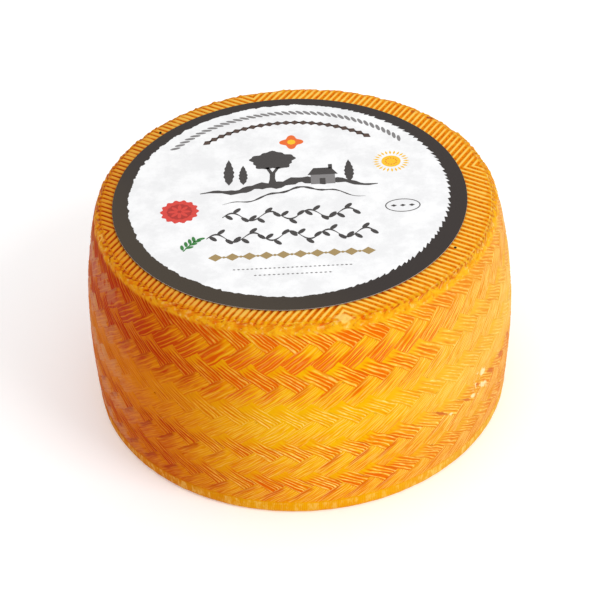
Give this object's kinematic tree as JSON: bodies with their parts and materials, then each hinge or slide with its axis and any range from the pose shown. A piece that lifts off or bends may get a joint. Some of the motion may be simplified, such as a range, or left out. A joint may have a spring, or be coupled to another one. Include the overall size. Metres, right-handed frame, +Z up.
{
  "type": "manchego cheese",
  "caption": "Whole round of hard sheep's cheese: a barrel-sided wheel with a plaited rind print and ridged faces, with a round paper label on top.",
  "frame": {"origin": "middle of the underside, on the surface that the wheel stands on", "axes": "+Z up along the wheel's axis, -Y towards the side that the picture shows"},
  "size_m": [0.1958, 0.1958, 0.1034],
  "materials": {
    "rind": "satin",
    "label_paper": "satin"
  },
  "bodies": {
    "root": {"cheese_wheel": "rind", "paper_label": "label_paper"}
  },
  "joints": []
}
